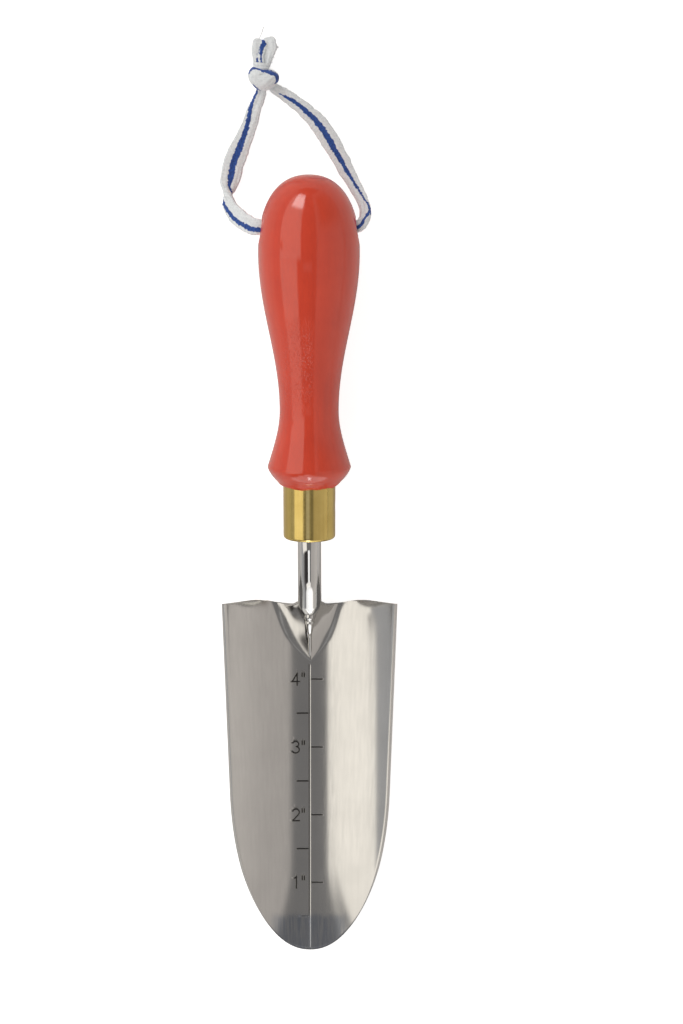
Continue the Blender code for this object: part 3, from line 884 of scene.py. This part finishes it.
# Along each strand, in millimetres from its start: full width, thickness, roll in degrees, the stripe's place
# across the tape and the stripe's half width
LEFT_SHAPE = [
    (0, 5.0, 2.0, 0, -0.6, 0.7), (15, 5.4, 2.0, 0, -0.8, 0.8), (22, 6.4, 2.0, 0, -1.1, 0.8),
    (30, 6.2, 2.0, 10, -1.2, 0.7), (36, 5.0, 2.6, 30, -1.4, 0.6), (39, 4.2, 3.3, 90, -1.0, 0.3),
    (42, 5.8, 2.4, 165, 0.0, 0.5), (46, 7.2, 1.9, 180, 0.0, 1.0), (52, 7.4, 1.9, 180, 0.1, 1.15),
    (60, 6.6, 1.9, 180, 0.2, 1.05), (68, 5.4, 2.0, 180, 1.0, 0.8), (75, 4.4, 2.2, 185, 1.75, 0.5),
    (80, 3.2, 2.4, 190, 1.4, 0.4), (85, 2.8, 2.6, 190, 1.3, 0.35),
]
RIGHT_SHAPE = [
    (0, 5.0, 2.0, 0, 0.6, 0.7), (15, 5.0, 2.0, 20, 0.8, 0.7), (20, 4.6, 2.4, 45, 0.6, 0.7),
    (25, 4.3, 2.6, 30, 2.4, 0.3), (30, 4.0, 2.4, 0, 0.9, 0.3), (38, 4.8, 2.1, 0, 0.3, 0.45),
    (47, 5.8, 2.0, 0, 0.0, 0.75), (56, 6.6, 1.9, 0, -0.1, 1.1), (64, 6.4, 1.9, 0, 0.0, 1.0),
    (72, 5.2, 2.0, 0, 0.0, 0.75), (77, 4.7, 2.2, 0, -0.1, 0.6), (79.5, 4.4, 2.3, 0, -0.3, 0.45),
    (82, 4.1, 2.4, 0, -0.5, 0.1), (84, 3.9, 2.5, 0, -0.5, -0.4), (92, 3.2, 2.8, 0, -0.5, -0.4),
]

# A second run of stripe along a fold by the knot: distance from the start, place across and half width
RIGHT_FOLD = [(0, 2.4, -1), (81.5, 2.0, -0.6), (83, 1.95, 0.1), (86, 1.75, 0.2), (92, 1.6, 0.2)]


def smooth_route(points, per_span):
    """A smooth curve through a route's own points."""
    ends = [points[0]] + points + [points[-1]]
    line = []
    for a, b, c, d in zip(ends, ends[1:], ends[2:], ends[3:]):
        for i in range(per_span):
            t = i / per_span
            square, cube = 2 * a - 5 * b + 4 * c - d, 3 * b - a - 3 * c + d
            line.append(0.5 * (2 * b + (c - a) * t + square * t**2 + cube * t**3))
    return line + [points[-1]]


def even_steps(line, spacing):
    """The same line with points at even spacing."""
    line = np.array([tuple(p) for p in line])
    done = np.concatenate([[0], np.cumsum(np.linalg.norm(np.diff(line, axis=0), axis=1))])
    at = steps(0, done[-1], max(2, round(done[-1] / spacing)))
    return [Vector(p) for p in np.stack([np.interp(at, done, line[:, k]) for k in range(3)], axis=1)], at


TAPE_AROUND = 64
NO_SECOND = [(0, 9, 0)]


def make_tape(name, line, shape, replaced=(), sides=None, seed=0.0, ripple=0.06, second=None, blunt=6):
    """Woven tape along a line: two puffed halves with a furrow between, chevron ribs and a wandering width.

    The shape's rows are as for LEFT_SHAPE, and a second stripe's are as for RIGHT_FOLD.
    """
    line, at = even_steps(line, 0.22 * MM)
    at = at / MM
    table = np.array(shape, float).T
    width, thick, roll, stripe, stripe_w = [np.interp(at, table[0], column) for column in table[1:]]
    table = np.array(second or NO_SECOND, float).T
    place, half = [np.interp(at, table[0], column) for column in table[1:]]
    rings, values = [], {"across": [], "along": [], "stripe_w": []}
    for i, centre in enumerate(line):
        ahead = (line[min(i + 1, len(line) - 1)] - line[max(i - 1, 0)]).normalized()
        flat = Vector(sides(i / (len(line) - 1))) if sides else Vector((0, 0, 1))
        side = ahead.cross(flat).normalized()
        up = side.cross(ahead)
        turn = math.radians(roll[i])
        cos, sin = math.cos(turn), math.sin(turn)
        side, up = side * cos + up * sin, up * cos - side * sin
        taper = min(1.0, 0.55 + 0.45 * math.sqrt(min(i, len(line) - 1 - i) / blunt))
        ring = []
        for a in steps(0, 2 * math.pi, TAPE_AROUND + 1)[:-1]:
            c, s = math.cos(a), math.sin(a)
            right, over = (1 if c > 0 else -1), (1 if s > 0 else -1)
            u = abs(c) ** 0.72 * right
            sway = 1 + 0.12 * wobble((at[i], 3.1 if c > 0 else 7.7, 0), 0.33, seed)
            x = width[i] / 2 * u * sway * taper
            furrow = 1 - 0.30 * math.exp(-((u / 0.22) ** 2))
            furrow -= 0.12 * math.exp(-(((abs(u) - 0.72) / 0.1) ** 2))
            z = thick[i] / 2 * abs(s) ** 0.6 * over * furrow * taper
            rib = math.sin(2 * math.pi * (at[i] / 1.25 + 0.75 * abs(u) * over))
            lump = wobble((x * 1.6, at[i] * 0.5, z + seed), 0.9, seed)
            z += (ripple * 0.6 * rib + ripple * 1.4 * lump) * over * min(1.0, 2.5 * abs(s))
            plait = wobble((at[i] * 0.9, 5.0 if c > 0 else 9.0, 0), 1.0, seed)
            x += (ripple * 1.4 * rib + 3.0 * ripple * plait) * right * abs(c) ** 3
            ring.append(centre + (side * x + up * z) * MM)
            off = width[i] / 2 * u
            from_second = abs(off - place[i]) + stripe_w[i] - half[i]
            values["across"].append(min(abs(off - stripe[i]), from_second))
            values["along"].append(at[i])
            values["stripe_w"].append(stripe_w[i])
        rings.append(ring)
    mesh = skin(name, rings, values=values)
    return add_piece(name, mesh, TAPE, LOOP, "cord_tape", *replaced), line


def make_strand(name, route, shape, replaced, seed, inside, second=None):
    """One side of the loop, declared as a cord up to the knot; the tape itself runs on inside the knot."""
    points = [Vector(p) * MM for p in route]
    line = smooth_route(points + [inside], 14)
    strand, _ = make_tape(name, line, shape, (replaced,), seed=seed, second=second)


def make_fibres(name, roots, seed):
    """Loose threads, each a thin bent tube: its root, run, radius, bend and how much it tapers."""
    faces, points = [], []
    for k, (root, run, radius, bend, taper) in enumerate(roots):
        root, run = Vector(root) * MM, Vector(run) * MM
        across = run.cross(Vector((0, 0, 1))).normalized()
        rings = []
        for i, t in enumerate(steps(0, 1, 9)):
            centre = root + run * t + across * bend * MM * math.sin(math.pi * t)
            centre += across * 0.12 * MM * wobble((t * 3, k, 0), 1.0, seed)
            r = radius * MM * (1 - taper * t)
            ahead = run.normalized()
            up = across.cross(ahead)
            rings.append([centre + (across * math.cos(a) + up * math.sin(a)) * r
                          for a in steps(0, 2 * math.pi, 9)[:-1]])
        base = len(points)
        count, around = len(rings), len(rings[0])
        points += [tuple(p) for ring in rings for p in ring]
        for i in range(count - 1):
            for j in range(around):
                n = (j + 1) % around
                faces.append([base + i * around + j, base + i * around + n,
                              base + (i + 1) * around + n, base + (i + 1) * around + j])
        faces.append([base + j for j in reversed(range(around))])
        faces.append([base + (count - 1) * around + j for j in range(around)])
    mesh = bpy.data.meshes.new(name)
    mesh.from_pydata(points, [], faces)
    set_values(mesh, {"across": np.full(len(points), 3.0), "along": np.zeros(len(points))})
    set_values(mesh, {"stripe_w": np.zeros(len(points))})
    outwards(mesh)
    mesh.shade_smooth()
    return add_piece(name, mesh, TAPE, LOOP, "cord_tape")


# The knot from above, in millimetres from its middle: x, the edge by the tails and the edge by the loop
KNOT_OUTLINE = [
    (-5.6, 1.3, 1.1), (-5.3, 2.6, -0.4), (-4.5, 3.8, -1.8), (-3.2, 4.5, -3.2), (-1.8, 4.35, -4.1),
    (-0.4, 3.9, -4.4), (1.1, 3.45, -4.3), (2.5, 3.4, -3.8), (3.9, 2.95, -2.7), (5.0, 2.1, -1.6),
    (5.5, 1.4, -0.8), (5.7, 0.4, 0.2),
]
# The stripe's visible runs on the knot: x, y and half width
KNOT_STRIPES = [
    [(-5.3, 2.0, 0.2), (-4.9, 2.9, 0.35), (-4.3, 3.6, 0.45), (-3.4, 4.0, 0.45), (-2.2, 3.95, 0.5),
     (-1.0, 3.4, 0.4), (0.4, 2.95, 0.4), (1.8, 2.65, 0.6), (3.2, 2.15, 0.75), (4.6, 1.35, 0.65),
     (5.3, 0.4, 0.6), (5.2, -0.6, 0.5), (4.4, -1.5, 0.3)],
    [(-3.7, -1.9, 0.1), (-3.0, -2.8, 0.2), (-2.3, -3.5, 0.25), (-1.6, -4.1, 0.45)],
]
# Creases pressed into it: x, y pairs
KNOT_CREASES = [
    [(-4.4, -0.9), (-3.7, -1.9), (-3.0, -2.8), (-1.6, -4.2)],
    [(-0.8, 1.6), (0.0, 1.75), (0.7, 1.7)],
]
KNOT_THICK = 4.0


def nearest_on(lines, x, y):
    """The distance from (x, y) to the nearest of some lines, and the lines' third value there."""
    best, value = 99.0, 0.0
    for line in lines:
        for a, b in zip(line, line[1:]):
            run_x, run_y = b[0] - a[0], b[1] - a[1]
            t = ((x - a[0]) * run_x + (y - a[1]) * run_y) / (run_x**2 + run_y**2)
            t = min(1.0, max(0.0, t))
            away = math.hypot(x - a[0] - run_x * t, y - a[1] - run_y * t)
            if away < best:
                best = away
                value = a[2] + (b[2] - a[2]) * t if len(a) > 2 else 0.0
    return best, value


def make_knot_body():
    """The knot's plump front turn, with the stripe along its edge and the folds pressed into it."""
    table = np.array(KNOT_OUTLINE).T
    rings, values = [], {"across": [], "along": [], "stripe_w": []}
    low_x, high_x = table[0][0], table[0][-1]
    for turn in steps(0.02, math.pi - 0.02, 90):
        x = (low_x + high_x) / 2 - (high_x - low_x) / 2 * math.cos(turn)
        near = x + steps(-0.45, 0.45, 5) * math.sin(turn)
        top, bottom = np.interp(near, table[0], table[1]).mean(), np.interp(near, table[0], table[2]).mean()
        thick = KNOT_THICK * math.sin(turn) ** 0.75
        ring = []
        for a in steps(0, 2 * math.pi, 145)[:-1]:
            c, s = math.cos(a), math.sin(a)
            y = (top + bottom) / 2 + (top - bottom) / 2 * c
            z = thick * s
            fan = 0.09 * math.sin(2 * math.pi * (2.6 * math.acos(c) / math.pi * 2 + 0.3 * x)) * math.sin(turn)
            lump = 0.22 * wobble((x * 0.6, y, z), 0.55, 3.0)
            press = 0.0
            if s > 0:
                away, _ = nearest_on(KNOT_CREASES, x, y)
                press = 0.5 * math.exp(-((away / 0.3) ** 2))
            z += (fan + lump - press) * s
            away, half = nearest_on(KNOT_STRIPES, x, y)
            ring.append(KNOT_AT + Vector((x, y, z)) * MM)
            values["across"].append(away if s > -0.35 else 9.0)
            values["along"].append(8 * math.acos(c) / math.pi)
            values["stripe_w"].append(half)
        rings.append(ring)
    mesh = skin("knot_front_turn", rings, values=values)
    return add_piece("knot_front_turn", mesh, TAPE, LOOP, "cord_tape", "cord_knot")


# The tails' lines run in x and y from the knot's middle, and in height; their shapes are as for LEFT_SHAPE
TAIL_LEFT_LINE = [(-1.6, 3.4, 3.8), (-1.7, 6.0, 3.9), (-1.8, 9.0, 3.5), (-1.5, 11.5, 3.1), (-0.9, 14.0, 2.9)]
TAIL_LEFT_SHAPE = [
    (0, 3.4, 2.2, 0, 0.9, 0.2), (2.4, 3.7, 2.1, 0, 0.9, 0.25), (4.5, 4.2, 2.0, 0, 0.95, 0.3),
    (6.2, 4.8, 1.9, 0, 1.05, 0.45), (7.6, 5.3, 1.9, 0, 1.1, 0.85), (9.5, 5.4, 1.8, 0, 1.4, 0.8),
    (11.2, 5.0, 1.7, 0, 1.3, 0.8),
]
TAIL_LEFT_PRONG = [
    (0, -0.8, 0.4), (2.4, -0.6, 0.4), (3.6, -0.5, 0.3), (4.6, -0.4, 0.0), (5.8, -0.3, 0.1), (7, 0, -0.1),
    (8, 0, -1),
]
TAIL_RIGHT_LINE = [(0.5, 3.2, 2.9), (1.1, 6.0, 2.8), (1.9, 9.0, 2.6), (2.2, 12.0, 2.4), (1.7, 14.8, 2.1)]
TAIL_RIGHT_SHAPE = [
    (0, 3.0, 2.2, 0, 9, 0), (2.5, 3.4, 2.2, 4, 9, 0), (4, 3.8, 2.2, 8, 9, 0), (6, 4.5, 2.2, 10, 9, 0),
    (9, 5.2, 2.1, 10, 9, 0), (11.8, 4.8, 1.9, 8, 9, 0),
]
BACK_TURN_SHAPE = [
    (0, 1.8, 1.4, 90, 9, 0), (3, 2.4, 1.7, 90, 9, 0), (6, 2.6, 1.8, 90, 9, 0), (10, 2.4, 1.7, 90, 9, 0),
]
CUT_THREADS = 9
# Tufts at the right tail's edge: x and y from the knot's middle, how far they stick out, and their radius
TUFTS = [(3.9, 11.2, 1.7, 0.8), (3.9, 10.3, 1.0, 0.5), (2.9, 7.6, 1.1, 0.45), (2.3, 5.8, 1.2, 0.3)]


def from_knot(line):
    """A line given in x and y from the knot's middle and in height, as a smooth route."""
    x, y, _ = KNOT_AT / MM
    return smooth_route([Vector((x + dx, y + dy, z)) * MM for dx, dy, z in line], 12)


def back_turn_line():
    x, y, z = KNOT_AT / MM
    line = []
    for turn in steps(math.radians(200), math.radians(-20), 40):
        c, s = math.cos(turn), math.sin(turn)
        line.append(Vector((x - 0.9 + 2.35 * c, y + 4.5 - 0.3 * c, z - 0.8 + 2.1 * s)) * MM)
    return line


def thread_roots():
    """One long frayed thread, the short ones across the cut end, and the tufts."""
    x, y, _ = KNOT_AT / MM
    roots = [((x - 1.9, y + 13.6, 2.9), (1.9, 4.9, -0.6), 0.15, 0.3, -0.25)]
    for k in range(CUT_THREADS):
        off = -2.2 + 0.75 * k
        root = (x - 0.4 + off, y + 13.6 - 0.15 * abs(off), 2.4)
        run = (0.3 * math.sin(5 * k), 0.9 + 0.3 * math.cos(7 * k), -0.2)
        roots.append((root, run, 0.10, 0.1 * math.sin(3 * k), 0.35))
    for off_x, off_y, reach, radius in TUFTS:
        roots.append(((x + off_x, y + off_y, 2.1), (reach, -0.1, -0.1), radius, 0.1, 0.8))
    return roots


def make_knot():
    """The knot's front turn and the turn behind it, the two tails and their loose threads."""
    body = make_knot_body()
    collar, _ = make_tape(
        "knot_back_turn", back_turn_line(), BACK_TURN_SHAPE, sides=lambda share: (0, 1, 0), seed=6.6,
    )
    left, _ = make_tape(
        "tail_left", from_knot(TAIL_LEFT_LINE), TAIL_LEFT_SHAPE, ("cord_tail_left",), seed=1.7, ripple=0.05,
        second=TAIL_LEFT_PRONG, blunt=4,
    )
    right, _ = make_tape(
        "tail_right", from_knot(TAIL_RIGHT_LINE), TAIL_RIGHT_SHAPE, ("cord_tail_right",), seed=2.9,
        ripple=0.07,
    )
    fibres = make_fibres("tail_threads", thread_roots(), 5.5)
    return [body, collar, left, right, fibres]


# ---------------------------------------------------------------- the scene

STEEL_BLADE = steel_material("blade_steel", (0.64, 0.63, 0.61), 0.15, 0.22, stamped=True)
STEEL_NECK = steel_material("neck_steel", (0.66, 0.655, 0.64), 0.07, 0.1)
BRASS = brass_material()
PAINT = paint_material()
RESIN = resin_material()
TAPE = tape_material()

make_camera()
LEFT_INSIDE, RIGHT_INSIDE = Vector((-16.9, 176.0, 3.4)) * MM, Vector((-13.8, 175.4, 3.2)) * MM
knot_pieces = make_knot()
make_strand("strand_left", LEFT_ROUTE, LEFT_SHAPE, "cord_left", 0.3, LEFT_INSIDE)
make_strand(
    "strand_right", RIGHT_ROUTE, RIGHT_SHAPE, "cord_right", 1.9, RIGHT_INSIDE, second=RIGHT_FOLD,
)
make_stage()
make_blade()
make_neck()
make_weld()
make_ferrule()
make_handle()
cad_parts["tang_adhesive"].data.materials.clear()
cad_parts["tang_adhesive"].data.materials.append(RESIN)
